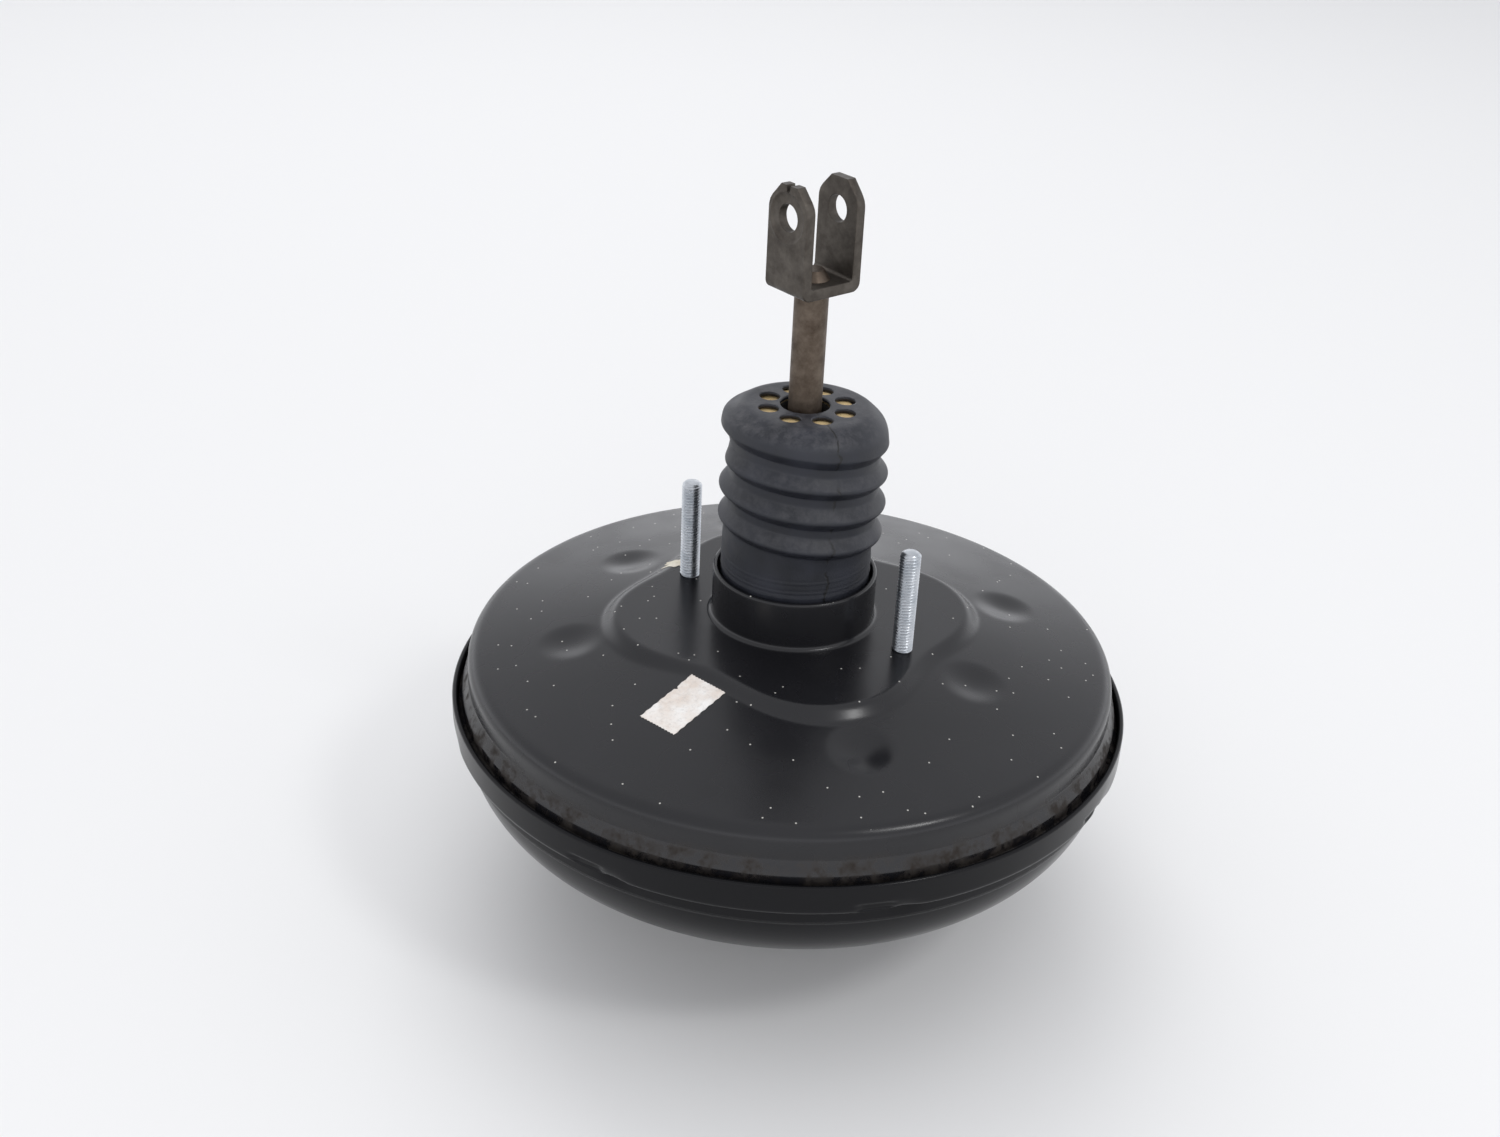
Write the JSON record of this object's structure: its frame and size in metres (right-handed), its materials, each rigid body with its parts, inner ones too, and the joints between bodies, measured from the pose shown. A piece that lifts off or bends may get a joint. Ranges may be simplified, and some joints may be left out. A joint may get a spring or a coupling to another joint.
{
  "type": "brake booster",
  "caption": "Vacuum brake booster with a painted pan housing, rear studs, bellows boot, push rod with clevis and a check valve.",
  "frame": {"origin": "centre of the rear mounting face, on the booster's axis", "axes": "+Z along the booster's axis towards the pedal, +X through the two rear studs"},
  "size_m": [0.268, 0.268, 0.2975],
  "materials": {
    "black_paint": "satin black stove paint on pressed steel sheet",
    "zinc_plate": "bright zinc plate",
    "bare_steel": "pressed steel, oiled",
    "spring_steel": "phosphated spring wire",
    "worn_steel": "worn, brown-grey steel",
    "boot_rubber": "bluish-black moulded rubber",
    "seal_rubber": "moulded nitrile rubber",
    "phenolic": "moulded phenolic resin",
    "bush_plastic": "natural nylon",
    "black_plastic": "glass-filled black nylon",
    "foam": "open-cell foam",
    "felt": "tan pressed felt"
  },
  "bodies": {
    "housing": {"front_shell": "black_paint", "rear_shell": "black_paint", "rear_mounting_studs": "zinc_plate", "master_cylinder_studs": "zinc_plate", "rear_reinforcement_plate": "bare_steel", "front_reinforcement_plate": "bare_steel", "guide_bush": "bush_plastic", "neck_seal": "seal_rubber", "neck_seal_retainer": "bare_steel", "rubber_boot": "boot_rubber", "return_spring": "spring_steel", "front_seal_support": "bare_steel", "front_seal": "seal_rubber", "check_valve_grommet": "seal_rubber"},
    "power_piston": {"valve_body": "phenolic", "diaphragm": "seal_rubber", "diaphragm_plate": "zinc_plate", "diaphragm_retainer": "bush_plastic", "reaction_disc": "seal_rubber", "output_rod": "zinc_plate", "output_rod_adjuster": "zinc_plate", "output_rod_retainer": "spring_steel", "poppet_valve": "seal_rubber", "poppet_retainer": "bare_steel", "poppet_spring": "spring_steel", "air_silencer": "foam", "air_filter": "felt"},
    "air_valve": {"valve_plunger": "zinc_plate", "stop_key": "bare_steel", "input_return_spring": "spring_steel"},
    "input_rod": {"input_rod": "worn_steel", "spring_collar": "bare_steel"},
    "clevis": {"clevis": "worn_steel"},
    "check_valve": {"check_valve_body": "black_plastic", "check_valve_lid": "black_plastic", "check_valve_spring": "spring_steel"},
    "check_disc": {"check_valve_disc": "seal_rubber"}
  },
  "joints": [
    {"name": "piston_stroke", "type": "slide", "parent": "housing", "child": "power_piston", "axis": [0, 0, -1], "range_m": [0, 0.034], "stiffness_N_per_m": 3000, "springref_m": -0.03, "deforming": ["rubber_boot", "return_spring", "diaphragm"]},
    {"name": "valve_travel", "type": "slide", "parent": "power_piston", "child": "air_valve", "axis": [0, 0, -1], "range_m": [0, 0.0015], "stiffness_N_per_m": 2000, "springref_m": -0.01, "deforming": ["poppet_spring", "input_return_spring"]},
    {"name": "input_rod_tilt", "type": "hinge", "parent": "air_valve", "child": "input_rod", "pos_m": [0, 0, 0.012], "axis": [0.3206, 0.9472, 0], "range_deg": [-2, 2], "stiffness_Nm_per_rad": 2},
    {"name": "clevis_swivel", "type": "hinge", "parent": "input_rod", "child": "clevis", "pos_m": [0, 0, 0.135], "axis": [0, 0, 1], "continuous": true},
    {"name": "check_valve_swivel", "type": "hinge", "parent": "housing", "child": "check_valve", "pos_m": [0, 0.079, -0.1], "axis": [0, 0, 1], "continuous": true},
    {"name": "check_disc_lift", "type": "slide", "parent": "check_valve", "child": "check_disc", "axis": [0, 0, -1], "range_m": [0, 0.002], "stiffness_N_per_m": 100, "springref_m": -0.002, "deforming": ["check_valve_spring"]}
  ]
}
